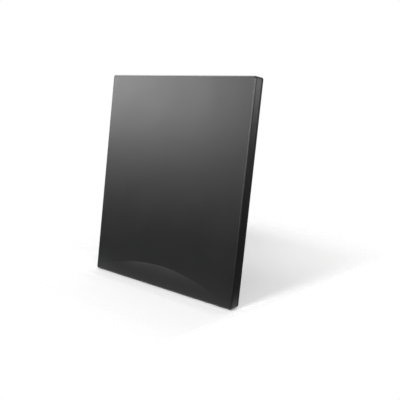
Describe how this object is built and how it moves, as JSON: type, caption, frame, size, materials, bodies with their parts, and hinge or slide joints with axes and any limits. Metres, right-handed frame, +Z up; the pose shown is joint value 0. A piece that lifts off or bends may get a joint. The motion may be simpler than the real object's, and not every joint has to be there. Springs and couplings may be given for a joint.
{
  "type": "flat indoor tv antenna",
  "caption": "Flat black indoor TV antenna: a slim leaning panel with a crescent along its lower edge, a fold-out rear foot, a threaded coaxial socket and keyholes.",
  "frame": {"origin": "on the table, under the middle of the object's outline with its foot open", "axes": "+Z up, the front face looks towards -Y, +X to the right as seen from the front"},
  "size_m": [0.2, 0.0728, 0.2225],
  "materials": {
    "front_plastic": "satin black moulded plastic",
    "rear_plastic": "black plastic with a fine moulded grain",
    "foot_plastic": "black plastic with a fine moulded grain",
    "rubber": "matt black rubber",
    "element_sheet": "plain rolled sheet",
    "board_laminate": "green solder mask",
    "ferrite": "dull sintered ferrite",
    "copper_wire": "enamelled copper wire",
    "chip_resin": "moulded resin",
    "chip_ceramic": "fired ceramic",
    "tinned_steel": "bright tin plate",
    "nickel_plate": "nickel-plated brass",
    "insulator_plastic": "white plastic",
    "contact_bronze": "bare spring bronze",
    "screw_steel": "blackened steel"
  },
  "bodies": {
    "case": {"front_cover": "front_plastic", "rear_cover": "rear_plastic", "left_base_foot": "rubber", "right_base_foot": "rubber", "left_element": "element_sheet", "right_element": "element_sheet", "matching_board": "board_laminate", "balun_core": "ferrite", "balun_winding": "copper_wire", "amplifier_chip": "chip_resin", "chip_parts": "chip_ceramic", "shield_can": "tinned_steel", "socket_body": "nickel_plate", "socket_insulator": "insulator_plastic", "socket_contact": "contact_bronze", "socket_washer": "nickel_plate", "socket_nut": "nickel_plate", "cover_screws": "screw_steel", "board_screws": "screw_steel"},
    "foot": {"fold_out_foot": "foot_plastic", "foot_tip_pad": "rubber"}
  },
  "joints": [
    {"name": "foot_fold", "type": "hinge", "parent": "case", "child": "foot", "pos_m": [0, -0.02425, 0.01206], "axis": [1, 0, 0], "range_deg": [0, 90]}
  ]
}
